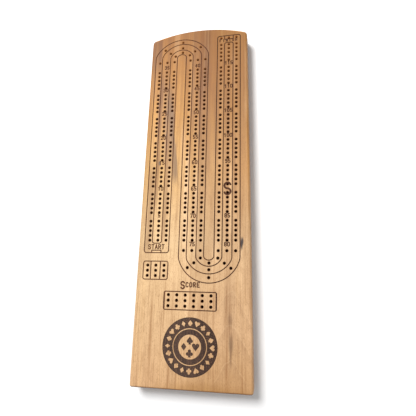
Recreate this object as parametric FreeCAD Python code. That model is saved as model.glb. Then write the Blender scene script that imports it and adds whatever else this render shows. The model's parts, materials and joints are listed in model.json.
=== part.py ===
import FreeCAD, Part
import math
import os

# Cribbage board: a plank with one long three-lane track, a storage compartment underneath with a
# swinging cover, nine pegs and four feet. Millimetres. +Z is up, +X runs across the board, +Y along
# it to the arched end. The origin is on the surface it stands on, below the middle of the board.

V = FreeCAD.Vector
UP = V(0, 0, 1)

# Plank. Its sides taper and lean a little against the track, and its straight end isn't quite square.
LENGTH = 466.2
WIDTH_FOOT = 142.1            # at the straight end
FOOT_SKEW = 1.4               # the right corner of the straight end lies this much further in
HEAD_LEFT_X = -68.95          # where the sides meet the arch
HEAD_RIGHT_X = 65.35
THICKNESS = 19.0
ARCH_RADIUS = 207.0
ARCH_MIDDLE_X = -1.45
HEAD_CORNER_R = 6.0
FOOT_CORNER_R = 3.0
TOP_ROUND = 2.6               # roundover of the upper edges
BOTTOM_ROUND = 1.2

# Feet and levels
FOOT_HEIGHT = 4.0
FOOT_R = 6.0
FOOT_INSET_X = 13.0
FOOT_INSET_END = 13.0
FOOT_INSET_ARCH = 26.0
UNDERSIDE = FOOT_HEIGHT
TOP = UNDERSIDE + THICKNESS

# Drilled holes
HOLE_R = 1.6
HOLE_DEPTH = 9.5
DRILL_POINT = 1.0
COUNTERSINK = 0.4             # scorched bevel round the mouth
LANE = 10.43                  # from one lane to the next
STEP = 6.03                   # from one hole to the next
GROUP = 35.0                  # from one group of five to the next
GROUP_SIZE = 5
ROW_1 = -64.0                 # y of the first row of the straight strips
LEFT_X = -45.75               # middle lane of each strip
MIDDLE_X = LEFT_X + 43.7
RIGHT_X = LEFT_X + 86.4
LEFT_GROUPS = 7
RIGHT_GROUPS = 8
HEAD_TURN_ROW = ROW_1 + 249.4
FOOT_TURN_ROW = ROW_1 - 12.5
LAST_HOLE = ROW_1 + 279.5
TURN_ANGLE = 36.6             # of the second and fourth hole of a turn
TURN_SHIFT = 1.0              # the turn's centre lies this far past its first row

# Radii of a turn's second hole and of its middle hole: outer, middle and inner lane
HEAD_TURN_R = ((31.5, 28.7), (21.7, 19.9), (12.7, 12.6))
FOOT_TURN_R = ((32.7, 30.8), (23.0, 21.6), (13.2, 13.7))

# Burnt lines
BURN_DEPTH = 0.45
LINE = 1.25
LINE_SHIFT = (-1.2, -0.9, 0.0)   # the lines lie a little left of the holes on the first two strips
TRACK_HALF = 15.6
MIDDLE_LANE_HALF = 5.95
CORNER = 3.0
HEAD_SPRING = ROW_1 + 255.2
FOOT_SPRING = ROW_1 - 19.2
ARCH_RISE = 0.75              # height of a turn's arch over its half width
WIDE_ARCH_RISE = 0.84         # the same for the widest arch, at the straight end's turn
ARCH_CORNER = 0.45            # its side arcs' radius over its half width
START_Y = ROW_1 - 15.4
START_LANE_Y = ROW_1 - 3.7
FINISH_Y = ROW_1 + 282.7
FINISH_LANE_Y = ROW_1 + 271.9
START_BOX_HIGH = 3.6
FINISH_BOX_HIGH = 6.0
BOX_CORNER = 0.6

# Boxes beside the track: spare-peg grid and game-score holes
GRID_X = LEFT_X - 1.1
GRID_TOP = ROW_1 - 25.1
GRID_BOTTOM = ROW_1 - 48.1
GRID_HALF = 16.2
GRID_ROWS = (-30.6, -36.8, -43.0)
GRID_HOLE_X = LEFT_X - 0.8    # its middle column of holes
SCORE_LEFT = LEFT_X + 10.8
SCORE_RIGHT = LEFT_X + 75.6
SCORE_TOP = ROW_1 - 60.5
SCORE_BOTTOM = ROW_1 - 82.5
SCORE_SIDE_LINE = 1.8
SCORE_CORNER = 2.4
SCORE_COLUMNS = 6
SCORE_FIRST_X = LEFT_X + 16.8
SCORE_STEP = 10.3
SCORE_ROWS = (-65.0, -71.3, -77.7)

# Lettering
LABEL_HEIGHT = 5.8
LABEL_STROKE = 1.2
LABEL_PITCH = 3.8
LABEL_DROP = 3.7              # a label's middle, below the row that starts the next group
RIGHT_LABEL_DROP = 4.7        # the same on the middle and right strips
TURN_NUMBER = 75              # number of the hole before the turn at the straight end
BIG_S_GROUP = 2               # the right strip's group that a large S marks instead of a number
BIG_S_DROP = 5.7

# Words: text, middle x and y, height, stroke, from one letter to the next
WORDS = (("START", LEFT_X - 1.5, ROW_1 - 8.1, 6.6, 1.25, 4.35),
         ("FINISH", RIGHT_X - 0.8, ROW_1 + 275.4, 4.8, 1.0, 4.3),
         ("S", LEFT_X + 33.9, ROW_1 - 53.6, 9.8, 1.8, 0),
         ("CORE", LEFT_X + 46.0, ROW_1 - 53.0, 6.3, 1.35, 4.5),
         ("S", RIGHT_X, ROW_1 + BIG_S_GROUP * GROUP - BIG_S_DROP, 17.6, 2.5, 0))

# Round emblem
EMBLEM_X = LEFT_X + 44.7
EMBLEM_Y = ROW_1 - 122.0
EMBLEM_R = 32.3
EMBLEM_RING_R = 20.2
EMBLEM_RING = 1.0
EMBLEM_DISC_R = 13.3
PIP_RING_R = 26.0
PIP_COUNT = 20
PIP_SIZE = 6.2
SUIT_RING_R = 6.9
SUIT_SIZE = 8.6

# Compartment and its cover
POCKET_X = 54.0
POCKET_Y = 60.0
POCKET_DEPTH = 10.5
POCKET_CORNER = 5.0
POCKET_MID_Y = EMBLEM_Y
SCREW_PAST_POCKET = 5.8
PIVOT_Y = POCKET_MID_Y + POCKET_Y / 2 + SCREW_PAST_POCKET
CATCH_Y = POCKET_MID_Y - POCKET_Y / 2 - SCREW_PAST_POCKET
COVER_THICK = 1.2
COVER_LAP = 2.6
COVER_CORNER = 4.0
EAR_HALF = 7.0
EAR_END = 6.4
EAR_CORNER = 5.0
CATCH_SLOT_END = 255          # degrees; the catch screw sits at 270
WASHER_THICK = 0.4
WASHER_R = 4.2
SCREW_R = 1.4
SCREW_HEAD_R = 3.1
SCREW_HEAD = 1.3
SCREW_HEAD_ROUND = 0.6
SCREW_LENGTH = 10.0
SCREW_POINT = 2.0
SCREW_TIP_R = 0.2
SCREW_SLOT = 0.7
SCREW_SLOT_DEPTH = 0.5
PILOT_R = 1.45
COVER_HOLE_R = 1.6
COVER_TOP = UNDERSIDE - WASHER_THICK
COVER_BOTTOM = COVER_TOP - COVER_THICK

# Pegs
PEG_LENGTH = 28.0
PEG_SHANK = 18.5
PEG_TIP_R = 1.15
PEG_TIP_BEVEL = 0.5
PEG_SHANK_R = 1.5
PEG_HEAD_R = 2.4
PEG_COLLAR = 1.5
PEG_COLLAR_BEVEL = 0.3
PEG_WAIST_R = 1.55
PEG_KNOB = 3.6
PEG_KNOB_BEVEL = 1.0
PEG_CROWN = 1.4
PEG_PITCH = 5.7
PEG_FINISHES = ("brass", "nickel", "black")
PEGS_EACH = 3
PEG_AXIS_Z = COVER_TOP + PEG_HEAD_R + 0.1
PEG_END_GAP = 0.5

OVERCUT = 1.0                 # cutters reach this far past the surface they cut


def export(name, shape):
    shape.exportStep("parts/" + name + ".step")


def polar(cx, cy, radius, degrees):
    angle = math.radians(degrees)
    return V(cx + radius * math.cos(angle), cy + radius * math.sin(angle), 0)


def arc(cx, cy, radius, start, end):
    """Circular edge from the angle start to the angle end, in degrees, either way round."""
    return Part.Arc(polar(cx, cy, radius, start), polar(cx, cy, radius, (start + end) / 2),
                    polar(cx, cy, radius, end)).toShape()


def line(a, b):
    return Part.makeLine(a, b)


def slab(face, bottom, height):
    face = face.copy()
    face.translate(V(0, 0, bottom))
    return face.extrude(V(0, 0, height))


def burnt(face):
    """Cutter for something burnt into the upper side."""
    return slab(face, TOP - BURN_DEPTH, BURN_DEPTH + OVERCUT)


def rounded(x0, y0, x1, y1, radius):
    """Wire of an upright rectangle with rounded corners."""
    edges = []
    corners = ((x1 - radius, y1 - radius, 0), (x0 + radius, y1 - radius, 90),
               (x0 + radius, y0 + radius, 180), (x1 - radius, y0 + radius, 270))
    for i in range(4):
        cx, cy, start = corners[i]
        nx, ny, n_start = corners[(i + 1) % 4]
        edges.append(arc(cx, cy, radius, start, start + 90))
        edges.append(line(polar(cx, cy, radius, start + 90), polar(nx, ny, radius, n_start)))
    return Part.Wire(edges)


def frame_face(x0, y0, x1, y1, radius, side, end):
    """Rectangular line of its own width along the sides and the ends."""
    outer = Part.Face(rounded(x0, y0, x1, y1, radius))
    inner = Part.Face(rounded(x0 + side, y0 + end, x1 - side, y1 - end, max(radius - side, 0.3)))
    return outer.cut(inner)


def slot_face(a, b, width):
    """Straight stroke with round ends."""
    half = width / 2
    turn = math.degrees(math.atan2(b.y - a.y, b.x - a.x))
    edges = [line(polar(a.x, a.y, half, turn - 90), polar(b.x, b.y, half, turn - 90)),
             arc(b.x, b.y, half, turn - 90, turn + 90),
             line(polar(b.x, b.y, half, turn + 90), polar(a.x, a.y, half, turn + 90)),
             arc(a.x, a.y, half, turn + 90, turn + 270)]
    return Part.Face(Part.Wire(edges))


def arc_face(cx, cy, radius, start, end, width):
    """Curved stroke with round ends, or a ring if it goes all the way round."""
    half = width / 2
    if abs(end - start) >= 360:
        return circle_face(cx, cy, radius + half).cut(circle_face(cx, cy, radius - half))
    a = polar(cx, cy, radius, start)
    b = polar(cx, cy, radius, end)
    edges = [arc(cx, cy, radius + half, start, end),
             arc(b.x, b.y, half, end, end + 180),
             arc(cx, cy, radius - half, end, start),
             arc(a.x, a.y, half, start + 180, start + 360)]
    if end < start:
        edges[1] = arc(b.x, b.y, half, end, end - 180)
        edges[3] = arc(a.x, a.y, half, start - 180, start - 360)
    return Part.Face(Part.Wire(edges))


# ---- plank ----------------------------------------------------------------------------------

def arch_y(x):
    """The arched end's y at x."""
    drop = ARCH_RADIUS - math.sqrt(ARCH_RADIUS ** 2 - (x - ARCH_MIDDLE_X) ** 2)
    return LENGTH / 2 - drop


def side_x(side, y):
    """The left (-1) or right (1) side's x at y."""
    head_x = HEAD_LEFT_X if side < 0 else HEAD_RIGHT_X
    foot_x = side * WIDTH_FOOT / 2
    share = (y + LENGTH / 2) / (arch_y(head_x) + LENGTH / 2)
    return foot_x + (head_x - foot_x) * share


def corner_edges(body, side):
    """Upright edges at the straight end (-1) or at the arched end (1)."""
    return [e for e in body.Edges
            if abs(e.tangentAt(e.FirstParameter).z) > 0.99 and e.CenterOfMass.y * side > 0]


def plank_solid():
    left_foot = V(-WIDTH_FOOT / 2, -LENGTH / 2, 0)
    right_foot = V(WIDTH_FOOT / 2, -LENGTH / 2 + FOOT_SKEW, 0)
    right_head = V(HEAD_RIGHT_X, arch_y(HEAD_RIGHT_X), 0)
    left_head = V(HEAD_LEFT_X, arch_y(HEAD_LEFT_X), 0)
    crown = Part.Arc(right_head, V(ARCH_MIDDLE_X, LENGTH / 2, 0), left_head).toShape()
    outline = Part.Wire([line(left_foot, right_foot), line(right_foot, right_head), crown,
                         line(left_head, left_foot)])
    body = slab(Part.Face(outline), UNDERSIDE, THICKNESS)
    body = body.makeFillet(FOOT_CORNER_R, corner_edges(body, -1))
    body = body.makeFillet(HEAD_CORNER_R, corner_edges(body, 1))
    upper = [e for e in body.Edges if e.BoundBox.ZMin > TOP - 0.01]
    body = body.makeFillet(TOP_ROUND, upper)
    lower = [e for e in body.Edges if e.BoundBox.ZMax < UNDERSIDE + 0.01]
    return body.makeFillet(BOTTOM_ROUND, lower)


# ---- drilled holes --------------------------------------------------------------------------

def straight_rows(groups):
    return [ROW_1 + group * GROUP + i * STEP for group in range(groups) for i in range(GROUP_SIZE)]


def turn_holes(x0, x1, row, side, radii):
    """Five holes in each lane of a turn between the strips at x0 and x1; side is 1 or -1."""
    middle = (x0 + x1) / 2
    centre_y = row + side * TURN_SHIFT
    places = []
    for lane in range(3):
        offset = (1 - lane) * LANE
        second, apex = radii[lane]
        places.append((x0 - offset, row))
        places.append((x1 + offset, row))
        for angle in (TURN_ANGLE, 180 - TURN_ANGLE):
            p = polar(middle, centre_y, second, side * angle)
            places.append((p.x, p.y))
        places.append((middle, centre_y + side * apex))
    return places


def hole_places():
    places = []
    for x, groups in ((LEFT_X, LEFT_GROUPS), (MIDDLE_X, LEFT_GROUPS), (RIGHT_X, RIGHT_GROUPS)):
        for lane in (-1, 0, 1):
            places += [(x + lane * LANE, y) for y in straight_rows(groups)]
    places += turn_holes(LEFT_X, MIDDLE_X, HEAD_TURN_ROW, 1, HEAD_TURN_R)
    places += turn_holes(MIDDLE_X, RIGHT_X, FOOT_TURN_ROW, -1, FOOT_TURN_R)
    for lane in (-1, 0, 1):
        places.append((RIGHT_X + lane * LANE, LAST_HOLE))
        places += [(GRID_HOLE_X + lane * LANE, ROW_1 + y) for y in GRID_ROWS]
    for column in range(SCORE_COLUMNS):
        places += [(SCORE_FIRST_X + column * SCORE_STEP, ROW_1 + y) for y in SCORE_ROWS]
    return places


def drill():
    """Cutter for one hole: the drill's point, a cylinder and a bevel at the mouth."""
    bottom = TOP - HOLE_DEPTH
    tip = Part.makeCone(0, HOLE_R, DRILL_POINT, V(0, 0, bottom - DRILL_POINT))
    barrel = Part.makeCylinder(HOLE_R, HOLE_DEPTH, V(0, 0, bottom))
    mouth = Part.makeCone(HOLE_R, HOLE_R + COUNTERSINK + OVERCUT, COUNTERSINK + OVERCUT,
                          V(0, 0, TOP - COUNTERSINK))
    return barrel.fuse([tip, mouth]).removeSplitter()


# ---- burnt lines ----------------------------------------------------------------------------

def arch_arcs(x0, x1, spring, side, offset, rise_share=ARCH_RISE):
    """Three-centred arch from x0 to x1, as three (cx, cy, radius, start, end) arcs.

    side is 1 for an arch that rises to +Y. offset widens the arch all round."""
    half = abs(x1 - x0) / 2
    middle = (x0 + x1) / 2
    small = ARCH_CORNER * half
    rise = rise_share * half
    big = ((half - small) ** 2 + rise ** 2 - small ** 2) / (2 * (rise - small))
    depth = big - rise
    lean = math.degrees(math.atan2(depth, half - small))
    arcs = [(middle - half + small, spring, small + offset, 180, 180 - lean),
            (middle, spring - side * depth, big + offset, 180 - lean, lean),
            (middle + half - small, spring, small + offset, lean, 0)]
    if side < 0:
        arcs = [(cx, cy, r, -a, -b) for cx, cy, r, a, b in arcs]
    if x1 < x0:
        arcs = [(cx, cy, r, b, a) for cx, cy, r, a, b in reversed(arcs)]
    return arcs


def track_wire(half, start_y, finish_y, wide_rise, grow):
    """Closed outline of the track or of its middle lane; grow moves it outwards by half a line."""
    left = LEFT_X + LINE_SHIFT[0]
    middle = MIDDLE_X + LINE_SHIFT[1]
    right = RIGHT_X + LINE_SHIFT[2]
    c = CORNER
    arcs = []
    arcs += arch_arcs(left - half, middle + half, HEAD_SPRING, 1, grow)
    arcs += arch_arcs(middle + half, right - half, FOOT_SPRING, -1, -grow)
    arcs.append((right - half + c, finish_y - c, c + grow, 180, 90))
    arcs.append((right + half - c, finish_y - c, c + grow, 90, 0))
    arcs += arch_arcs(right + half, middle - half, FOOT_SPRING, -1, grow, wide_rise)
    arcs += arch_arcs(middle - half, left + half, HEAD_SPRING, 1, -grow)
    arcs.append((left + half - c, start_y + c, c + grow, 0, -90))
    arcs.append((left - half + c, start_y + c, c + grow, 270, 180))
    edges = []
    for i, (cx, cy, r, a, b) in enumerate(arcs):
        nx, ny, nr, na, nb = arcs[(i + 1) % len(arcs)]
        edges.append(arc(cx, cy, r, a, b))
        here = polar(cx, cy, r, b)
        there = polar(nx, ny, nr, na)
        if here.distanceToPoint(there) > 1e-6:
            edges.append(line(here, there))
    return Part.Wire(Part.__sortEdges__(edges))


def track_line(half, start_y, finish_y, wide_rise):
    outer = Part.Face(track_wire(half, start_y, finish_y, wide_rise, LINE / 2))
    inner = Part.Face(track_wire(half, start_y, finish_y, wide_rise, -LINE / 2))
    return outer.cut(inner)


def line_faces():
    left = LEFT_X + LINE_SHIFT[0]
    right = RIGHT_X + LINE_SHIFT[2]
    edge = LINE / 2
    lane = MIDDLE_LANE_HALF + edge
    faces = [track_line(TRACK_HALF, START_Y, FINISH_Y, WIDE_ARCH_RISE),
             track_line(MIDDLE_LANE_HALF, START_LANE_Y, FINISH_LANE_Y, ARCH_RISE),
             frame_face(left - lane, START_Y - edge, left + lane, START_Y + START_BOX_HIGH,
                        BOX_CORNER, LINE, LINE),
             frame_face(right - lane, FINISH_Y - FINISH_BOX_HIGH, right + lane, FINISH_Y + edge,
                        BOX_CORNER, LINE, LINE),
             frame_face(GRID_X - GRID_HALF, GRID_BOTTOM, GRID_X + GRID_HALF, GRID_TOP,
                        CORNER, LINE, LINE),
             frame_face(SCORE_LEFT, SCORE_BOTTOM, SCORE_RIGHT, SCORE_TOP,
                        SCORE_CORNER, SCORE_SIDE_LINE, LINE)]
    for x in (GRID_X - MIDDLE_LANE_HALF, GRID_X + MIDDLE_LANE_HALF):
        faces.append(slot_face(V(x, GRID_BOTTOM + edge, 0), V(x, GRID_TOP - edge, 0), LINE))
    return faces


# ---- lettering ------------------------------------------------------------------------------

# Plain letters on a grid 3 wide and 6 high. Four numbers are a straight stroke, five are an arc:
# its centre, its radius, and the angles it starts and ends at.
ROUND = ((1.5, 4.5, 1.5, 0, 180), (0, 4.5, 0, 1.5), (1.5, 1.5, 1.5, 180, 360), (3, 1.5, 3, 4.5))
GLYPHS = {
    "0": ROUND,
    "O": ROUND,
    "1": ((1.6, 0, 1.6, 6), (0.6, 4.8, 1.6, 6)),
    "2": ((1.5, 4.5, 1.5, 170, -35), (2.73, 3.64, 0, 0), (0, 0, 3, 0)),
    "3": ((1.5, 4.5, 1.5, 150, -90), (1.5, 1.5, 1.5, 90, -150)),
    "4": ((2.2, 0, 2.2, 6), (2.2, 6, 0, 2), (0, 2, 3, 2)),
    "5": ((2.8, 6, 0.3, 6), (0.3, 6, 0.3, 3.3), (1.4, 1.6, 1.6, 130, -140)),
    "6": ((1.5, 4.5, 1.5, 40, 180), (0, 4.5, 0, 1.5), (1.5, 1.5, 1.5, 0, 360)),
    "7": ((0, 6, 3, 6), (3, 6, 1, 0)),
    "8": ((1.5, 4.5, 1.5, 0, 360), (1.5, 1.5, 1.5, 0, 360)),
    "9": ((1.5, 4.5, 1.5, 0, 360), (3, 4.5, 3, 1.5), (1.5, 1.5, 1.5, 0, -140)),
    "A": ((0, 0, 1.5, 6), (1.5, 6, 3, 0), (0.6, 2, 2.4, 2)),
    "C": ((1.5, 4.5, 1.5, 20, 180), (0, 4.5, 0, 1.5), (1.5, 1.5, 1.5, 180, 340)),
    "E": ((0, 0, 0, 6), (0, 6, 3, 6), (0, 3, 2.4, 3), (0, 0, 3, 0)),
    "F": ((0, 0, 0, 6), (0, 6, 3, 6), (0, 3, 2.4, 3)),
    "H": ((0, 0, 0, 6), (3, 0, 3, 6), (0, 3, 3, 3)),
    "I": ((1.5, 0, 1.5, 6),),
    "N": ((0, 0, 0, 6), (0, 6, 3, 0), (3, 0, 3, 6)),
    "R": ((0, 0, 0, 6), (0, 6, 1.5, 6), (1.5, 4.5, 1.5, 90, -90), (1.5, 3, 0, 3),
          (1.4, 3, 3, 0)),
    "S": ((1.5, 4.5, 1.5, 20, 270), (1.5, 1.5, 1.5, 90, -160)),
    "T": ((0, 6, 3, 6), (1.5, 6, 1.5, 0)),
}
GRID_WIDE = 3.0
GRID_HIGH = 6.0


def glyph_cutter(letter, x, y, height, stroke):
    """Cutter for one letter whose middle is at x, y."""
    unit = (height - stroke) / GRID_HIGH
    left = x - unit * GRID_WIDE / 2
    low = y - unit * GRID_HIGH / 2
    solids = []
    for s in GLYPHS[letter]:
        if len(s) == 4:
            face = slot_face(V(left + unit * s[0], low + unit * s[1], 0),
                             V(left + unit * s[2], low + unit * s[3], 0), stroke)
        else:
            face = arc_face(left + unit * s[0], low + unit * s[1], unit * s[2], s[3], s[4], stroke)
        solids.append(burnt(face))
    if len(solids) == 1:
        return solids[0]
    return solids[0].fuse(solids[1:]).removeSplitter()


def word(text, x, y, height, stroke, pitch):
    first = x - pitch * (len(text) - 1) / 2
    return [glyph_cutter(letter, first + i * pitch, y, height, stroke)
            for i, letter in enumerate(text)]


def label(number, x, y):
    return word(str(number), x, y, LABEL_HEIGHT, LABEL_STROKE, LABEL_PITCH)


def group_labels():
    """Hole numbers beside the end of each group of five, in the middle lane."""
    cutters = []
    for group in range(1, LEFT_GROUPS + 1):
        cutters += label(GROUP_SIZE * group, LEFT_X, ROW_1 + group * GROUP - LABEL_DROP)
    for group in range(LEFT_GROUPS + 1):
        y = ROW_1 + group * GROUP - RIGHT_LABEL_DROP
        cutters += label(TURN_NUMBER - GROUP_SIZE * group, MIDDLE_X, y)
    for group in range(RIGHT_GROUPS):
        y = ROW_1 + group * GROUP - RIGHT_LABEL_DROP
        if group != BIG_S_GROUP:
            cutters += label(TURN_NUMBER + GROUP_SIZE * (group + 1), RIGHT_X, y)
    return cutters


def words():
    cutters = []
    for values in WORDS:
        cutters += word(*values)
    return cutters


# ---- round emblem ---------------------------------------------------------------------------

def circle_face(x, y, radius):
    return Part.Face(Part.Wire(Part.makeCircle(radius, V(x, y, 0))))


def polygon_face(points):
    corners = [V(x, y, 0) for x, y in points]
    return Part.Face(Part.makePolygon(corners + corners[:1]))


def join(faces):
    return faces[0].fuse(faces[1:]).removeSplitter()


def diamond(size):
    return polygon_face(((0, size / 2), (size * 0.36, 0), (0, -size / 2), (-size * 0.36, 0)))


def heart(size):
    """Two lobes over a point that their tangents meet in."""
    lobe = size * 0.25
    y = size * 0.2
    tip = V(0, -size * 0.5, 0)
    reach = math.hypot(lobe, y - tip.y)
    turn = math.degrees(math.atan2(y - tip.y, lobe) - math.asin(lobe / reach))
    length = math.sqrt(reach ** 2 - lobe ** 2)
    edge = polar(0, tip.y, length, turn)
    flank = polygon_face(((0, tip.y), (edge.x, edge.y), (lobe, y), (0, y + lobe * 0.2), (-lobe, y),
                          (-edge.x, edge.y)))
    return join([flank, circle_face(lobe, y, lobe), circle_face(-lobe, y, lobe)])


def stem(size):
    return polygon_face(((-size * 0.2, -size * 0.5), (size * 0.2, -size * 0.5), (size * 0.05, 0),
                         (-size * 0.05, 0)))


def spade(size):
    body = heart(size * 0.84)
    body.rotate(V(0, 0, 0), UP, 180)
    body.translate(V(0, size * 0.08, 0))
    return join([body, stem(size)])


def club(size):
    lobe = size * 0.225
    return join([circle_face(0, size * 0.27, lobe), circle_face(-size * 0.25, -size * 0.08, lobe),
                 circle_face(size * 0.25, -size * 0.08, lobe), circle_face(0, 0, lobe * 0.6),
                 stem(size)])


SUITS = (spade, heart, club, diamond)


def placed(face, x, y, turn):
    face = face.copy()
    face.rotate(V(0, 0, 0), UP, turn)
    face.translate(V(x, y, 0))
    return face


def emblem_cutters():
    """Burnt disc with plain wood left as a ring, a middle disc and suit pips; four suits inside."""
    field = burnt(circle_face(EMBLEM_X, EMBLEM_Y, EMBLEM_R))
    ring = circle_face(EMBLEM_X, EMBLEM_Y, EMBLEM_RING_R).cut(
        circle_face(EMBLEM_X, EMBLEM_Y, EMBLEM_RING_R - EMBLEM_RING))
    kept = [burnt(ring), burnt(circle_face(EMBLEM_X, EMBLEM_Y, EMBLEM_DISC_R))]
    for i in range(PIP_COUNT):
        angle = 90 - i * 360 / PIP_COUNT
        place = polar(EMBLEM_X, EMBLEM_Y, PIP_RING_R, angle)
        kept.append(burnt(placed(SUITS[i % 4](PIP_SIZE), place.x, place.y, angle - 90)))
    cutters = [field.cut(kept)]
    for i, suit in enumerate(SUITS):
        place = polar(EMBLEM_X, EMBLEM_Y, SUIT_RING_R, 90 - i * 90)
        cutters.append(burnt(placed(suit(SUIT_SIZE), place.x, place.y, 0)))
    return cutters


# ---- underside ------------------------------------------------------------------------------

def underside_cutters():
    pocket = slab(Part.Face(rounded(EMBLEM_X - POCKET_X / 2, POCKET_MID_Y - POCKET_Y / 2,
                                    EMBLEM_X + POCKET_X / 2, POCKET_MID_Y + POCKET_Y / 2,
                                    POCKET_CORNER)), UNDERSIDE - OVERCUT, POCKET_DEPTH + OVERCUT)
    cutters = [pocket]
    for y in (PIVOT_Y, CATCH_Y):
        cutters.append(Part.makeCylinder(PILOT_R, SCREW_LENGTH + OVERCUT,
                                         V(EMBLEM_X, y, UNDERSIDE - OVERCUT)))
    return cutters


def board():
    body = plank_solid()
    burns = [burnt(face) for face in line_faces()] + group_labels() + words() + emblem_cutters()
    body = body.cut(burns)
    tool = drill()
    holes = []
    for x, y in hole_places():
        hole = tool.copy()
        hole.translate(V(x, y, 0))
        holes.append(hole)
    body = body.cut(holes)
    return body.cut(underside_cutters()).removeSplitter().Solids[0]


# ---- cover, screws, feet and pegs -----------------------------------------------------------

def storage_cover():
    """Plate with a pivot hole at one end and, at the other, an ear with a slot open to -X."""
    half_x = POCKET_X / 2 + COVER_LAP
    half_y = POCKET_Y / 2 + COVER_LAP
    plate = Part.Face(rounded(EMBLEM_X - half_x, POCKET_MID_Y - half_y, EMBLEM_X + half_x,
                              POCKET_MID_Y + half_y, COVER_CORNER))
    ears = Part.Face(rounded(EMBLEM_X - EAR_HALF, CATCH_Y - EAR_END, EMBLEM_X + EAR_HALF,
                             PIVOT_Y + EAR_END, EAR_CORNER))
    face = join([plate, ears])
    reach = PIVOT_Y - CATCH_Y
    slot = arc_face(EMBLEM_X, PIVOT_Y, reach, 270, CATCH_SLOT_END, 2 * COVER_HOLE_R)
    face = face.cut([circle_face(EMBLEM_X, PIVOT_Y, COVER_HOLE_R), slot])
    return slab(face, COVER_BOTTOM, COVER_THICK)


def screw(y, head_top):
    """Slotted pan-head wood screw from below; head_top is where its head meets what it holds."""
    low = head_top - SCREW_HEAD
    head = Part.makeCylinder(SCREW_HEAD_R, SCREW_HEAD, V(EMBLEM_X, y, low))
    rim = [e for e in head.Edges if e.BoundBox.ZMax < low + 0.01 and e.Length > 1]
    head = head.makeFillet(SCREW_HEAD_ROUND, rim)
    slot = Part.makeBox(2 * (SCREW_HEAD_R + OVERCUT), SCREW_SLOT, SCREW_SLOT_DEPTH + OVERCUT,
                        V(EMBLEM_X - SCREW_HEAD_R - OVERCUT, y - SCREW_SLOT / 2, low - OVERCUT))
    taper = UNDERSIDE + SCREW_LENGTH - SCREW_POINT
    shank = Part.makeCylinder(SCREW_R, taper - head_top, V(EMBLEM_X, y, head_top))
    point = Part.makeCone(SCREW_R, SCREW_TIP_R, SCREW_POINT, V(EMBLEM_X, y, taper))
    return head.cut(slot).fuse([shank, point]).removeSplitter()


def pivot_washer():
    ring = circle_face(EMBLEM_X, PIVOT_Y, WASHER_R).cut(circle_face(EMBLEM_X, PIVOT_Y, COVER_HOLE_R))
    return slab(ring, COVER_TOP, WASHER_THICK)


def foot(x, y):
    """Low rubber dome with a flat underside."""
    centre = V(0, 0, 0)
    tread = V(FOOT_R - 1.8, 0, 0)
    flank = V(FOOT_R - 0.5, 0, 1.3)
    between = V(FOOT_R - 0.85, 0, 0.4)
    rim = V(FOOT_R, 0, FOOT_HEIGHT)
    top = V(0, 0, FOOT_HEIGHT)
    wire = Part.Wire([line(centre, tread), Part.Arc(tread, between, flank).toShape(),
                      line(flank, rim), line(rim, top), line(top, centre)])
    body = Part.Face(wire).revolve(centre, UP, 360)
    body.translate(V(x, y, 0))
    return body


def peg():
    """Turned metal peg along +Y, its tip at y = 0 and its head's end at y = PEG_LENGTH."""
    r = PEG_HEAD_R
    bevel = PEG_COLLAR_BEVEL
    collar = PEG_SHANK
    waist = collar + PEG_COLLAR
    knob = PEG_LENGTH - PEG_KNOB
    crown = PEG_LENGTH - PEG_CROWN
    profile = ((0, 0), (PEG_TIP_R - PEG_TIP_BEVEL, 0), (PEG_TIP_R, PEG_TIP_BEVEL),
               (PEG_SHANK_R, collar), (r - bevel, collar), (r, collar + bevel), (r, waist - bevel),
               (r - bevel, waist), (PEG_WAIST_R, waist + 2 * bevel),
               (PEG_WAIST_R, knob - PEG_KNOB_BEVEL), (r, knob), (r, crown))
    points = [V(x, y, 0) for x, y in profile]
    edges = [line(a, b) for a, b in zip(points, points[1:])]
    ball = (r ** 2 + PEG_CROWN ** 2) / (2 * PEG_CROWN)
    side = math.degrees(math.acos(r / ball))
    edges.append(arc(0, PEG_LENGTH - ball, ball, side, 90))
    edges.append(line(V(0, PEG_LENGTH, 0), points[0]))
    return Part.Face(Part.Wire(edges)).revolve(V(0, 0, 0), V(0, 1, 0), 360)


def export_pegs():
    one = peg()
    count = len(PEG_FINISHES) * PEGS_EACH
    tip_y = POCKET_MID_Y + POCKET_Y / 2 - PEG_END_GAP - PEG_LENGTH
    for i in range(count):
        x = EMBLEM_X + (i - (count - 1) / 2) * PEG_PITCH
        body = one.copy()
        body.translate(V(x, tip_y, PEG_AXIS_Z))
        export("peg_%s_%d" % (PEG_FINISHES[i // PEGS_EACH], i % PEGS_EACH + 1), body)


def export_feet():
    low = -LENGTH / 2 + FOOT_INSET_END
    high = LENGTH / 2 - FOOT_INSET_ARCH
    for name, sign, y in (("foot_near_left", -1, low), ("foot_near_right", 1, low),
                          ("foot_arch_left", -1, high), ("foot_arch_right", 1, high)):
        export(name, foot(side_x(sign, y) - sign * FOOT_INSET_X, y))


os.makedirs("parts", exist_ok=True)
export("board", board())
export("storage_cover", storage_cover())
export("pivot_screw", screw(PIVOT_Y, COVER_BOTTOM))
export("catch_screw", screw(CATCH_Y, COVER_BOTTOM))
export("pivot_washer", pivot_washer())
export_feet()
export_pegs()
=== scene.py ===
import json

import bpy
from mathutils import Matrix, Vector


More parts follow.
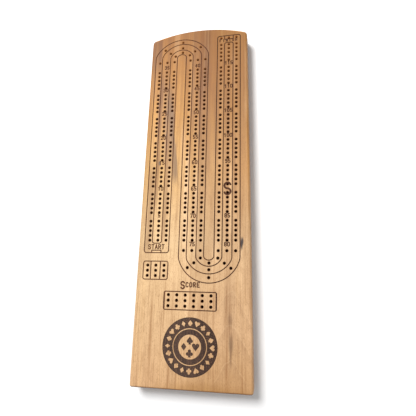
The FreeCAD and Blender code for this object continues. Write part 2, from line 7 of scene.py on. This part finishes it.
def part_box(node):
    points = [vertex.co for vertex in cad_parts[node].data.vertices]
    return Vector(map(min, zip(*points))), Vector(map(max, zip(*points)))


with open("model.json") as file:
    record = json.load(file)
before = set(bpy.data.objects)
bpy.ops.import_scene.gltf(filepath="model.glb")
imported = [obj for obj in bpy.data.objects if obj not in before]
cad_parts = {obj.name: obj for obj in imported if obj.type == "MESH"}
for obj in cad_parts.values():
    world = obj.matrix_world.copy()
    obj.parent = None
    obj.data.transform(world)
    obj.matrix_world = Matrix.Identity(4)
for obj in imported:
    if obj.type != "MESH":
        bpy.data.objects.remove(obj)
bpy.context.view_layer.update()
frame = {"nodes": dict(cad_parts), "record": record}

# Lengths below are in millimetres where a name says mm, otherwise in metres. Materials work on the
# piece's own coordinates, turned into millimetres.
MM = 0.001
BOARD_LOW, BOARD_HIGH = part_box("board")
TOP_MM = BOARD_HIGH.z / MM
UNDERSIDE_MM = BOARD_LOW.z / MM
BURN_DEPTH_MM = 0.45
# Depths that hold every bevel at a hole's mouth, every hole, and, from the underside, the compartment
BEVEL_REACH_MM = 0.45
HOLE_REACH_MM = 11.0
POCKET_REACH_MM = 10.6
# All bores, and all burnt marks, are within these distances of the board's middle line
BORES_HALF_MM = 62
BURNT_HALF_MM = 65
# No bore comes nearer to the ends than this
END_MARGIN_MM = 6
# The emblem lies further than this below the first hole, and the burnt lines and words nearer
EMBLEM_BELOW_MM = 87.0
FIRST_HOLE_MM = Vector(frame["record"]["mounts"][0]["pos_m"]) / MM
# Marks in the wood are placed from this point of the track, to the right of its first hole and above it
TRACK_MM = Vector((FIRST_HOLE_MM.x + 44.3, FIRST_HOLE_MM.y + 64.9, 0.0))


# ---- small helpers for materials ------------------------------------------------------------

def srgb(red, green, blue):
    """A colour as it looks on a screen, 0 to 255, turned into the linear colour that nodes use."""
    out = []
    for value in (red, green, blue):
        value /= 255
        out.append(value / 12.92 if value <= 0.04045 else ((value + 0.055) / 1.055) ** 2.4)
    return (*out, 1.0)


class Nodes:
    """A new material, and short ways to add nodes to it."""

    def __init__(self, name):
        self.material = bpy.data.materials.new(name)
        self.material.use_nodes = True
        self.tree = self.material.node_tree
        self.shader = self.tree.nodes["Principled BSDF"]

    def add(self, kind, inputs, **settings):
        node = self.tree.nodes.new("ShaderNode" + kind)
        for name, value in settings.items():
            setattr(node, name, value)
        for key, value in inputs.items():
            self.put(node.inputs[key], value)
        return node

    def put(self, socket, value):
        if isinstance(value, bpy.types.NodeSocket):
            self.tree.links.new(value, socket)
        else:
            socket.default_value = value

    def surface(self, **inputs):
        """Sets the shader's sockets; an underscore in a name stands for a space."""
        for name, value in inputs.items():
            self.put(self.shader.inputs[name.replace("_", " ")], value)
        return self.material

    def math(self, operation, a, b=0.0, c=0.0):
        return self.add("Math", {0: a, 1: b, 2: c}, operation=operation).outputs[0]

    def mix(self, factor, a, b, how="MIX"):
        node = self.add("Mix", {}, data_type="RGBA", blend_type=how)
        for index, value in ((0, factor), (6, a), (7, b)):
            self.put(node.inputs[index], value)
        return node.outputs[2]

    def place_mm(self):
        """The point's place in millimetres from TRACK_MM, whole and split."""
        own = self.add("TexCoord", {}).outputs["Object"]
        whole = self.add("VectorMath", {0: own, "Scale": 1 / MM}, operation="SCALE").outputs[0]
        whole = self.add("VectorMath", {0: whole, 1: TRACK_MM}, operation="SUBTRACT").outputs[0]
        return whole, self.add("SeparateXYZ", {0: whole}).outputs

    def stretched(self, vector, x, y, z):
        return self.add("VectorMath", {0: vector, 1: (x, y, z)}, operation="MULTIPLY").outputs[0]

    def noise(self, vector, scale=1.0, detail=2.0, roughness=0.5, distortion=0.0):
        return self.add("TexNoise", {"Vector": vector, "Scale": scale, "Detail": detail,
                                     "Roughness": roughness, "Distortion": distortion}).outputs[0]

    def span(self, value, start, end, low=0.0, high=1.0):
        """Smooth step: low up to start, high from end on."""
        return self.add("MapRange", {0: value, 1: start, 2: end, 3: low, 4: high},
                        interpolation_type="SMOOTHSTEP").outputs[0]

    def ramp(self, factor, stops):
        node = self.add("ValToRGB", {0: factor})
        elements = node.color_ramp.elements
        while len(elements) < len(stops):
            elements.new(0.5)
        for element, (place, colour) in zip(elements, stops):
            element.position = place
            element.color = colour
        return node.outputs[0]

    def bump(self, height, strength, distance_mm, normal=None):
        node = self.add("Bump", {"Height": height, "Strength": strength, "Distance": distance_mm * MM})
        if normal is not None:
            self.put(node.inputs["Normal"], normal)
        return node.outputs[0]


# ---- wood -----------------------------------------------------------------------------------

# Colour from the straight end (0) to the arched end (1), along the plank's left and right sides. The
# darkening towards the arched end is partly the wood's tone and partly painted shade, a fall-off of light.
# A helper script rescaled these colours several times, by ratios measured between photograph and render,
# so the values are computed and not chosen by eye.
LEFT_WOOD_AND_SHADE = ((0.0, srgb(220, 177, 132)), (0.14, srgb(221, 182, 136)), (0.36, srgb(232, 195, 144)),
             (0.55, srgb(212, 164, 92)), (0.72, srgb(202, 143, 56)), (0.86, srgb(178, 119, 35)),
             (1.0, srgb(145, 88, 18)))
RIGHT_WOOD_AND_SHADE = ((0.0, srgb(193, 149, 102)), (0.14, srgb(218, 176, 132)), (0.36, srgb(204, 166, 122)),
              (0.55, srgb(194, 143, 84)), (0.72, srgb(167, 116, 56)), (0.86, srgb(156, 105, 49)),
              (1.0, srgb(154, 107, 52)))

# Lengthwise darker bands, left to right: middle x, half width, lowest and highest y, how dark (0 to 1).
# Overlapping bands add up.
BANDS = (
    (-67.0, 3.5, -120.0, 240.0, 0.26), (-65.0, 4.0, 170.0, 240.0, 0.36), (-61.5, 3.0, 130.0, 245.0, 0.34),
    (-58.0, 3.0, -90.0, 36.0, 0.50), (-56.0, 4.0, 180.0, 245.0, 0.44), (-55.5, 3.0, 160.0, 240.0, 0.46),
    (-53.5, 2.4, -110.0, 30.0, 0.20), (-50.5, 2.6, -25.0, 165.0, 0.52), (-50.5, 3.4, 70.0, 175.0, 0.26),
    (-48.0, 3.0, 5.0, 60.0, 0.14), (-46.0, 2.2, 85.0, 185.0, 0.26), (-42.5, 2.6, 150.0, 245.0, 0.30),
    (-40.5, 3.0, 35.0, 110.0, 0.46), (-39.0, 4.0, 90.0, 160.0, 0.34), (-37.5, 3.0, -60.0, 85.0, 0.46),
    (-33.5, 3.0, 60.0, 150.0, 0.46), (-26.5, 1.8, 20.0, 60.0, 0.20), (-20.0, 6.0, -231.0, -160.0, 0.10),
    (-19.0, 2.4, 175.0, 250.0, 0.22), (-5.5, 2.6, 80.0, 240.0, 0.42), (-1.5, 2.0, 180.0, 245.0, 0.22),
    (4.6, 3.2, 55.0, 250.0, 0.30), (7.2, 2.2, -105.0, 60.0, 0.10), (8.0, 4.0, 125.0, 170.0, 0.20),
    (10.5, 7.0, 10.0, 240.0, 0.20), (12.0, 3.4, 150.0, 240.0, 0.26), (12.5, 3.6, 130.0, 250.0, 0.20),
    (14.0, 15.0, -115.0, 240.0, 0.16), (17.0, 2.0, 20.0, 130.0, 0.10), (17.0, 7.0, -231.0, -125.0, 0.14),
    (25.5, 3.0, 40.0, 150.0, 0.16), (27.0, 3.0, 30.0, 165.0, 0.14), (38.0, 6.0, 70.0, 160.0, 0.12),
    (40.5, 3.2, -60.0, 145.0, 0.24), (51.0, 2.6, -20.0, 75.0, 0.38), (60.0, 5.0, -40.0, 165.0, 0.12),
)

# Lengthwise lighter bands, listed the same way
LIGHT_BANDS = (
    (-33.5, 2.2, -15.0, 35.0, 0.34), (-31.0, 4.0, 185.0, 245.0, 0.15), (-22.0, 6.0, -120.0, -85.0, 0.26),
    (-17.0, 3.0, 5.0, 90.0, 0.16), (-10.0, 3.0, -100.0, 50.0, 0.48), (-4.0, 4.0, -165.0, -100.0, 0.34),
    (2.0, 3.0, -80.0, 25.0, 0.32), (28.0, 4.0, -125.0, -60.0, 0.36), (46.0, 2.4, -65.0, 35.0, 0.36),
    (48.5, 3.0, 125.0, 200.0, 0.12), (58.0, 3.0, -130.0, -65.0, 0.34), (66.0, 3.4, 90.0, 200.0, 0.14),
)


def ellipse(n, place, x, y, half_x, half_y, soft=0.5):
    """1 inside an upright ellipse, falling to 0 outside it."""
    px, py, _ = place
    dx = n.math("DIVIDE", n.math("SUBTRACT", px, x), half_x)
    dy = n.math("DIVIDE", n.math("SUBTRACT", py, y), half_y)
    distance = n.math("SQRT", n.math("ADD", n.math("MULTIPLY", dx, dx), n.math("MULTIPLY", dy, dy)))
    return n.span(distance, 1 + soft, 1 - soft)


def band(n, place, wobble, x, half, low, high, strength):
    """Mask of one lengthwise band with wandering, soft edges."""
    px, py, _ = place
    offset = n.math("ABSOLUTE", n.math("SUBTRACT", n.math("ADD", px, wobble), x))
    across = n.span(offset, half * 1.5, half * 0.35)
    ends = n.math("MULTIPLY", n.span(py, low - 14, low + 22), n.span(py, high + 14, high - 22))
    return n.math("MULTIPLY", n.math("MULTIPLY", across, ends), strength)


def wander(n, whole, stretch, reach, detail=2):
    """Noise between -reach/2 and reach/2."""
    noise = n.noise(n.stretched(whole, *stretch), detail=detail)
    return n.math("MULTIPLY", n.math("SUBTRACT", noise, 0.5), reach)


def bands_sum(n, place, wobble, table):
    """How dark or light a table's bands make each point, all of them added up."""
    total = 0.0
    for values in table:
        total = n.math("ADD", total, band(n, place, wobble, *values))
    return total


def wood_colour(n, whole, place):
    """Long change of tone, partly painted shade, bands, grain, fibres and flecks; also gives the grain and
    fibre noise.
    """
    px, py, _ = place
    length = (BOARD_HIGH.y - BOARD_LOW.y) / MM
    along = n.math("DIVIDE", n.math("ADD", py, length / 2), length)
    across = n.span(n.math("ADD", px, wander(n, whole, (0.03, 0.006, 0.03), 60)), -62.0, 62.0)
    colour = n.mix(across, n.ramp(along, LEFT_WOOD_AND_SHADE), n.ramp(along, RIGHT_WOOD_AND_SHADE))

    wobble = wander(n, whole, (0.06, 0.012, 0.06), 7)
    colour = n.mix(bands_sum(n, place, wobble, BANDS), colour, srgb(112, 66, 22))
    colour = n.mix(bands_sum(n, place, wobble, LIGHT_BANDS), colour, srgb(255, 214, 164))

    # The strip between the two right-hand runs is more golden; the top is darker near the straight end's
    # edge
    golden = band(n, place, wobble, 16.0, 21.0, 50.0, 240.0, 0.8)
    colour = n.mix(golden, colour, (0.94, 0.87, 0.60, 1.0), "MULTIPLY")
    near_edge_darkening = ellipse(n, place, 14.0, -236.0, 46.0, 12.0)
    colour = n.mix(near_edge_darkening, colour, (0.82, 0.76, 0.64, 1.0), "MULTIPLY")

    # Broad and fine lengthwise grain, stronger towards both ends
    ends = n.math("ADD", n.span(py, 30.0, 180.0, 0.5, 1.3), n.span(py, -80.0, -150.0, 0.0, 0.6))
    growth = n.noise(n.stretched(whole, 0.20, 0.005, 0.20), detail=4, roughness=0.62, distortion=0.3)
    colour = n.mix(n.math("MULTIPLY", n.span(growth, 0.49, 0.68), n.math("MULTIPLY", ends, 0.40)),
                   colour, srgb(140, 86, 34))
    colour = n.mix(n.math("MULTIPLY", n.span(growth, 0.46, 0.28), n.math("MULTIPLY", ends, 0.09)),
                   colour, srgb(250, 202, 128))
    fibre = n.noise(n.stretched(whole, 0.8, 0.02, 0.8), detail=5, roughness=0.7)
    colour = n.mix(n.span(fibre, 0.47, 0.68, 0.0, 0.42), colour, srgb(140, 90, 46))
    fleck = n.noise(n.stretched(whole, 1.9, 0.45, 1.9), detail=3, roughness=0.6)
    colour = n.mix(n.span(fleck, 0.52, 0.72, 0.0, 0.50), colour, srgb(124, 80, 44))
    figure = n.noise(n.stretched(whole, 0.16, 0.09, 0.16), detail=4, roughness=0.6)
    colour = n.mix(n.span(figure, 0.42, 0.70, 0.0, 0.18), colour, srgb(150, 104, 60))
    return colour, growth, fibre


def mineral_streak(n, whole, place, colour):
    """Grey-brown stain right of the left strip, slanting down to the right."""
    px, py, _ = place
    middle = n.math("MULTIPLY_ADD", py, -0.125, -22.5)
    offset = n.math("SUBTRACT", n.math("ADD", px, wander(n, whole, (0.2, 0.03, 0.2), 9, 4)), middle)
    across = n.math("MULTIPLY", n.span(offset, -9.0, -1.0), n.span(offset, 4.2, 2.4))
    ends = n.math("MULTIPLY", n.span(py, 0.0, 24.0), n.span(py, 165.0, 110.0))
    return n.mix(n.math("MULTIPLY", n.math("MULTIPLY", across, ends), 0.74), colour, srgb(120, 88, 58))


def cathedral(n, whole, place, colour):
    """Faint round-topped growth rings beside the emblem, and the dark line down their middle."""
    px, py, _ = place
    shake = wander(n, whole, (0.07, 0.03, 0.07), 10, 3)
    dx = n.math("SUBTRACT", n.math("ADD", px, shake), 46.5)
    spread = n.math("SQRT", n.math("MULTIPLY_ADD", dx, dx, 30.0))
    ring = n.math("ADD", n.math("MULTIPLY_ADD", spread, 1.7, 116.0), py)
    phase = n.math("FRACT", n.math("DIVIDE", n.math("ADD", ring, 370.0), 37.0))
    region = ellipse(n, place, 50.0, -178.0, 30.0, 62.0, 0.4)
    edge = n.math("MULTIPLY", n.span(phase, 0.55, 0.95), n.span(phase, 1.0, 0.96))
    colour = n.mix(n.math("MULTIPLY", n.math("MULTIPLY", edge, region), 0.12), colour, srgb(136, 98, 72))
    light = n.math("MULTIPLY", n.span(phase, 0.0, 0.02), n.span(phase, 0.06, 0.02))
    light = n.math("MULTIPLY", n.math("MULTIPLY", light, region), 0.18)
    colour = n.mix(light, colour, srgb(232, 198, 156))
    line = n.math("ADD", px, n.math("MULTIPLY", shake, 0.3))
    for x, y, half_x, half_y, strength in ((46.8, -156.0, 2.2, 6.0, 0.38), (47.4, -182.0, 2.2, 9.0, 0.62),
                                           (47.0, -196.0, 1.0, 9.0, 0.45), (45.0, -140.0, 6.0, 26.0, 0.12),
                                           (52.0, -178.0, 12.0, 30.0, 0.10)):
        spot = ellipse(n, (line, py, place[2]), x, y, half_x, half_y, 0.8)
        colour = n.mix(n.math("MULTIPLY", spot, strength), colour, srgb(104, 78, 58))
    return colour


def knots(n, place, colour):
    """Small dark insect marks."""
    for x, y, half_x, half_y, strength in ((59.4, -69.0, 1.5, 6.5, 0.95), (60.8, -66.0, 1.0, 4.0, 0.85),
                                           (-48.0, 36.0, 0.9, 2.8, 0.8), (-40.0, 75.0, 0.9, 1.6, 0.8),
                                           (-46.6, 33.6, 0.6, 1.6, 0.6)):
        spot = ellipse(n, place, x, y, half_x, half_y, 0.6)
        colour = n.mix(n.math("MULTIPLY", spot, strength), colour, srgb(48, 42, 44))
    return colour


def oiled_wood():
    """The plank's outside: flat-sawn grain on its faces and end grain on its ends, with painted shade on
    its long edges and at the straight end.
    """
    n = Nodes("oiled_wood")
    whole, place = n.place_mm()
    colour, growth, fibre = wood_colour(n, whole, place)
    colour = mineral_streak(n, whole, place, colour)
    colour = cathedral(n, whole, place, colour)
    colour = knots(n, place, colour)
    normal = n.add("SeparateXYZ", {0: n.add("NewGeometry", {}).outputs["Normal"]}).outputs
    # End grain takes more oil; short dark pores show in it
    end_grain = n.span(n.math("ABSOLUTE", normal[1]), 0.2, 0.7)
    pores = n.noise(n.stretched(whole, 1.6, 1.6, 1.6), detail=3, roughness=0.7)
    rings = n.noise(n.stretched(whole, 0.10, 0.10, 0.9), detail=3, distortion=0.6)
    end_colour = n.mix(n.span(rings, 0.38, 0.66), srgb(176, 118, 64), srgb(132, 82, 40))
    end_colour = n.mix(n.span(pores, 0.52, 0.72, 0.0, 0.5), end_colour, srgb(92, 56, 28))
    colour = n.mix(n.math("MULTIPLY", end_grain, 0.85), colour, end_colour)
    # Painted shade: the long edges are a little darker than the playing face, where they turn down from it
    painted_side_shade = n.span(n.math("ABSOLUTE", normal[0]), 0.3, 0.9, 0.0, 0.22)
    colour = n.mix(painted_side_shade, colour, srgb(150, 98, 56))
    # Painted shade: a thin dark line where the straight end's round-over turns down, away from the light,
    # fading down the end face
    turned = n.math("MULTIPLY", n.span(normal[1], -0.45, -0.85, 0.0, 0.85),
                    n.span(place[2], TOP_MM - 6.5, TOP_MM - 2.0, 0.25, 1.0))
    colour = n.mix(turned, colour, srgb(62, 36, 20))
    rough = n.add("MapRange", {0: growth, 1: 0.2, 2: 0.8, 3: 0.40, 4: 0.56}).outputs[0]
    height = n.bump(fibre, 0.25, 0.12)
    return n.surface(Base_Color=colour, Roughness=rough, Specular_IOR_Level=0.3, Normal=height)


def burnt_wood(name, dark, light, strength):
    """Scorched wood: soot over the grain that shows through."""
    n = Nodes(name)
    whole, place = n.place_mm()
    grain = n.noise(n.stretched(whole, 0.9, 0.06, 0.9), detail=4, roughness=0.6)
    soot = n.noise(whole, scale=0.8, detail=5, roughness=0.7)
    colour = n.mix(n.span(grain, 0.35, 0.70), dark, light)
    # Scorched a little darker towards the right
    colour = n.mix(n.span(place[0], -10.0, 30.0, 0.0, 0.45), colour, srgb(48, 28, 20))
    colour = n.mix(n.span(soot, 0.54, 0.70, 0.0, strength), colour, srgb(172, 130, 96))
    height = n.bump(soot, 0.4, 0.15)
    return n.surface(Base_Color=colour, Roughness=0.85, Specular_IOR_Level=0.2, Normal=height)


def bored_wood():
    """Walls of drilled holes: scorched brown at the mouth, with painted shade making them darker further
    down, and the drill's rings.
    """
    n = Nodes("bored_wood")
    whole, place = n.place_mm()
    mouth = n.mix(n.span(place[1], 90.0, 225.0), srgb(150, 102, 66), srgb(208, 154, 98))
    # Painted shade: the walls turn darker further down the hole
    painted_depth_shade = n.span(place[2], TOP_MM - 6.0, TOP_MM - 1.0)
    rings = n.noise(n.stretched(whole, 0.3, 0.3, 4.0), detail=3)
    colour = n.mix(painted_depth_shade, srgb(88, 52, 36), mouth)
    colour = n.mix(n.span(rings, 0.5, 0.75, 0.0, 0.4), colour, srgb(48, 28, 18))
    return n.surface(Base_Color=colour, Roughness=0.8, Specular_IOR_Level=0.2)


def scorched_rim():
    """Bevels round the holes' mouths, scorched less towards the arched end."""
    n = Nodes("scorched_rim")
    whole, place = n.place_mm()
    char = n.mix(n.span(place[1], 90.0, 225.0), srgb(84, 50, 34), srgb(166, 114, 66))
    uneven = n.noise(whole, scale=0.5, detail=3)
    colour = n.mix(n.span(uneven, 0.5, 0.75, 0.0, 0.35), char, srgb(140, 92, 58))
    return n.surface(Base_Color=colour, Roughness=0.8, Specular_IOR_Level=0.2)


def raw_wood():
    """Milled, unoiled wood inside the compartment."""
    n = Nodes("raw_wood")
    whole, _ = n.place_mm()
    grain = n.noise(n.stretched(whole, 0.5, 0.03, 0.5), detail=5, roughness=0.6)
    mill = n.noise(n.stretched(whole, 0.2, 1.6, 0.2), detail=2)
    colour = n.mix(n.span(grain, 0.3, 0.7), srgb(214, 176, 130), srgb(182, 136, 92))
    height = n.bump(mill, 0.3, 0.1)
    return n.surface(Base_Color=colour, Roughness=0.7, Normal=height)


# ---- metal, rubber and nylon ----------------------------------------------------------------

def metal(name, colour, worn, roughness, along):
    """Metal with fine tool marks; along is the stretch of the marks in each direction."""
    n = Nodes(name)
    whole, _ = n.place_mm()
    marks = n.noise(n.stretched(whole, *along), detail=4, roughness=0.7)
    stain = n.noise(whole, scale=0.12, detail=3)
    tint = n.mix(n.span(stain, 0.4, 0.75, 0.0, 0.6), colour, worn)
    rough = n.add("MapRange", {0: marks, 1: 0.25, 2: 0.75,
                               3: roughness * 0.7, 4: roughness * 1.3}).outputs[0]
    height = n.bump(marks, 0.15, 0.04)
    return n.surface(Base_Color=tint, Metallic=1.0, Roughness=rough, Normal=height)


def dull(name, colour, fleck, roughness, scale):
    """Rubber, nylon or paint with a faint uneven skin."""
    n = Nodes(name)
    whole, _ = n.place_mm()
    skin = n.noise(whole, scale=scale, detail=4, roughness=0.6)
    tint = n.mix(n.span(skin, 0.45, 0.75), colour, fleck)
    height = n.bump(skin, 0.2, 0.08)
    return n.surface(Base_Color=tint, Roughness=roughness, Normal=height)


# ---- which face gets which material ---------------------------------------------------------

def paint_board(board):
    """Oiled wood outside, burnt lines and emblem, scorched rims, bored holes and a raw compartment."""
    mesh = board.data
    mesh.materials.clear()
    char = burnt_wood("burnt_line", srgb(84, 50, 34), srgb(110, 68, 46), 0.16)
    emblem = burnt_wood("burnt_field", srgb(64, 50, 44), srgb(94, 70, 58), 0.60)
    for material in (oiled_wood(), char, emblem, bored_wood(), scorched_rim(), raw_wood()):
        mesh.materials.append(material)
    wood, line, field, bore, rim, raw = range(6)
    burnt_mm = TOP_MM - BURN_DEPTH_MM
    cover_low, cover_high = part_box("storage_cover")
    for face in mesh.polygons:
        zs = [mesh.vertices[v].co.z / MM for v in face.vertices]
        x, y, z = face.center / MM
        low, high = min(zs), max(zs)
        upright = abs(face.normal.z) < 0.1
        under_cover = (cover_low.x < face.center.x < cover_high.x
                       and cover_low.y < face.center.y < cover_high.y)
        pocket = (under_cover and UNDERSIDE_MM - 0.1 < low and high < UNDERSIDE_MM + POCKET_REACH_MM
                  and z > UNDERSIDE_MM + 0.05)
        burnt_wall = (upright and abs(x) < BURNT_HALF_MM
                      and low > burnt_mm - 0.02 and high < TOP_MM + 0.02)
        bored = is_bore(x, y)
        if abs(z - burnt_mm) < 0.02 or burnt_wall:
            face.material_index = line if y > FIRST_HOLE_MM.y - EMBLEM_BELOW_MM else field
        elif pocket:
            face.material_index = raw
        elif bored and low > TOP_MM - BEVEL_REACH_MM and 0.1 < face.normal.z < 0.9:
            face.material_index = rim
        elif bored and high < TOP_MM + 0.01 and low > TOP_MM - HOLE_REACH_MM and z < TOP_MM - 0.05:
            face.material_index = bore
        else:
            face.material_index = wood


def is_bore(x, y):
    """Whether a face at x and y, below the playing face, can belong to a hole and not to the outside."""
    return abs(x) < BORES_HALF_MM and abs(y) < BOARD_HIGH.y / MM - END_MARGIN_MM


paint_board(frame["nodes"]["board"])

brass = metal("brushed_brass", srgb(214, 178, 104), srgb(176, 134, 70), 0.32, (0.2, 6.0, 6.0))
bright_brass = metal("turned_brass", srgb(226, 188, 108), srgb(190, 148, 80), 0.20, (4.0, 4.0, 4.0))
nickel = metal("turned_nickel", srgb(206, 204, 198), srgb(166, 162, 156), 0.20, (4.0, 4.0, 4.0))
black = dull("black_enamel", srgb(22, 22, 24), srgb(38, 38, 42), 0.32, 0.8)
rubber = dull("foot_rubber", srgb(28, 28, 30), srgb(48, 48, 50), 0.75, 1.2)
nylon = dull("washer_nylon", srgb(226, 222, 210), srgb(204, 198, 184), 0.5, 1.0)

FINISHES = {"cover_brass": brass, "screw_brass": bright_brass, "washer_nylon": nylon,
            "foot_rubber": rubber, "peg_brass": bright_brass, "peg_nickel": nickel, "peg_black": black}
for part in frame["record"]["subparts"]:
    if part["material_slot"] in FINISHES:
        data = frame["nodes"][part["node"]].data
        data.materials.clear()
        data.materials.append(FINISHES[part["material_slot"]])


# ---- floor, light and camera ----------------------------------------------------------------

def floor():
    """A plain white square, 6 m wide, under the feet."""
    half = 3.0
    corners = [(-half, -half, 0), (half, -half, 0), (half, half, 0), (-half, half, 0)]
    mesh = bpy.data.meshes.new("floor")
    mesh.from_pydata(corners, [], [(0, 1, 2, 3)])
    obj = bpy.data.objects.new("floor", mesh)
    bpy.context.scene.collection.objects.link(obj)
    n = Nodes("floor_white")
    white = n.surface(Base_Color=(0.97, 0.97, 0.97, 1.0), Roughness=0.9, Specular_IOR_Level=0.1)
    mesh.materials.append(white)


def area_light(name, place, target, size, watts):
    light = bpy.data.lights.new(name, "AREA")
    light.shape = "DISK"
    light.size = size
    light.energy = watts
    obj = bpy.data.objects.new(name, light)
    obj.location = place
    obj.rotation_euler = (Vector(target) - Vector(place)).to_track_quat("-Z", "Y").to_euler()
    bpy.context.scene.collection.objects.link(obj)


def lights():
    """Soft key from the far left, a weak fill from the near right, and pale surroundings."""
    world = bpy.data.worlds.new("studio")
    world.use_nodes = True
    background = world.node_tree.nodes["Background"]
    background.inputs["Color"].default_value = (1.0, 1.0, 1.0, 1.0)
    background.inputs["Strength"].default_value = 0.34
    bpy.context.scene.world = world
    area_light("key", (-0.52, 0.70, 1.35), (0.05, 0, 0), 0.80, 30.0)
    area_light("fill", (0.9, -0.7, 1.2), (0.2, 0, 0), 1.4, 3.0)


def camera():
    """Held above the near half, to the right, and turned towards the middle of the board."""
    data = bpy.data.cameras.new("camera")
    data.sensor_width = 36.0
    data.lens = 28.86
    obj = bpy.data.objects.new("camera", data)
    forward = Vector((-0.17925, 0.21419, -0.9602)).normalized()
    up = Vector((0.01736, 0.97655, 0.2146))
    right = forward.cross(up).normalized()
    up = right.cross(forward)
    turn = Matrix((right, up, -forward)).transposed().to_4x4()
    obj.matrix_world = Matrix.Translation((0.09045, -0.1123, 0.4181)) @ turn
    bpy.context.scene.collection.objects.link(obj)
    bpy.context.scene.camera = obj


floor()
lights()
camera()
bpy.context.scene.view_settings.view_transform = "Standard"
